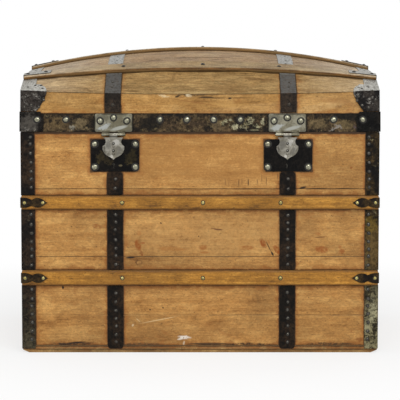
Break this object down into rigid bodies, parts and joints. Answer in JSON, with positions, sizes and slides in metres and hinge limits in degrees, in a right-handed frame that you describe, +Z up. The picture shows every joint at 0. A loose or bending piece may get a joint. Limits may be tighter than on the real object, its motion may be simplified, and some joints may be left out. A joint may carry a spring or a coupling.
{
  "type": "dome top trunk",
  "caption": "Pine dome top trunk with iron straps, bands and corner irons, wooden slats, hinged lid with two hasps and locks, and bail handles on the ends.",
  "frame": {"origin": "middle of the underside, on the middle skid", "axes": "+X to the trunk's right seen from the front, +Y to the back, +Z up"},
  "size_m": [0.8214, 0.5261, 0.6844],
  "materials": {
    "pine_body": "aged pine, waxed",
    "pine_lid": "greyed pine",
    "oiled_slats": "oiled hardwood",
    "base_wood": "grimy pine",
    "inner_wood": "bare pine",
    "black_iron": "black japanned, worn",
    "band_iron": "black japanned, olive patina",
    "worn_iron": "worn black with grey patina",
    "latch_steel": "dull stamped steel",
    "lock_steel": "dull",
    "black_enamel": "glossy black",
    "nickel_nails": "pale nickel plate",
    "brass_nails": "dull brass",
    "bail_iron": "worn black"
  },
  "bodies": {
    "box": {"back_boards": "pine_body", "back_corner_irons": "black_iron", "back_slat_clamps": "black_iron", "back_slats": "oiled_slats", "back_straps": "black_iron", "body_slat_nails": "brass_nails", "bottom_skids": "base_wood", "floor_boards": "base_wood", "front_bottom_board": "pine_body", "front_left_corner_irons": "black_iron", "front_lower_board": "pine_body", "front_lower_slat": "oiled_slats", "front_right_corner_irons": "worn_iron", "front_slat_clamps": "black_iron", "front_straps": "black_iron", "front_top_board": "pine_body", "front_upper_board": "pine_body", "front_upper_slat": "oiled_slats", "hinge_body_leaves": "black_iron", "hinge_pins": "latch_steel", "left_end_boards": "pine_body", "left_handle_plate": "black_iron", "left_lock_case": "lock_steel", "left_lock_plate": "black_enamel", "left_lock_spring": "lock_steel", "lock_plate_nails": "nickel_nails", "right_end_boards": "pine_body", "right_handle_plate": "black_iron", "right_lock_case": "lock_steel", "right_lock_plate": "black_enamel", "right_lock_spring": "lock_steel", "rim_tongue": "inner_wood"},
    "lid": {"band_corner_clamps": "black_iron", "band_dome_nails": "nickel_nails", "hinge_lid_leaves": "black_iron", "latch_pins": "latch_steel", "latch_plates": "latch_steel", "lid_back_boards": "pine_lid", "lid_back_slat": "oiled_slats", "lid_band": "band_iron", "lid_corner_irons": "worn_iron", "lid_edge_bindings": "worn_iron", "lid_front_board": "pine_body", "lid_front_shoulder": "pine_lid", "lid_front_slat": "oiled_slats", "lid_left_end": "pine_body", "lid_ridge_slat": "oiled_slats", "lid_right_end": "pine_body", "lid_slat_clamps": "worn_iron", "lid_slat_nails": "brass_nails", "lid_staves": "pine_lid", "lid_straps": "black_iron"},
    "left_hasp": {"left_hasp": "latch_steel"},
    "right_hasp": {"right_hasp": "latch_steel"},
    "left_lock_bolt": {"left_lock_bolt": "lock_steel"},
    "right_lock_bolt": {"right_lock_bolt": "lock_steel"},
    "left_bail": {"left_bail": "bail_iron"},
    "right_bail": {"right_bail": "bail_iron"}
  },
  "joints": [
    {"name": "lid_hinge", "type": "hinge", "parent": "box", "child": "lid", "pos_m": [0, 0.2575, 0.49425], "axis": [-1, 0, 0], "range_deg": [0, 100]},
    {"name": "left_hasp_hinge", "type": "hinge", "parent": "lid", "child": "left_hasp", "pos_m": [-0.191, -0.2568, 0.4888], "axis": [-1, 0, 0], "range_deg": [-8, 150]},
    {"name": "left_bolt_slide", "type": "slide", "parent": "box", "child": "left_lock_bolt", "axis": [-1, 0, 0], "range_m": [0, 0.011]},
    {"name": "left_bail_swing", "type": "hinge", "parent": "box", "child": "left_bail", "pos_m": [-0.404, 0, 0.318], "axis": [0, 1, 0], "range_deg": [0, 170]},
    {"name": "right_hasp_hinge", "type": "hinge", "parent": "lid", "child": "right_hasp", "pos_m": [0.193, -0.2568, 0.4888], "axis": [-1, 0, 0], "range_deg": [-8, 150]},
    {"name": "right_bolt_slide", "type": "slide", "parent": "box", "child": "right_lock_bolt", "axis": [-1, 0, 0], "range_m": [0, 0.011]},
    {"name": "right_bail_swing", "type": "hinge", "parent": "box", "child": "right_bail", "pos_m": [0.404, 0, 0.318], "axis": [0, -1, 0], "range_deg": [0, 170]}
  ]
}
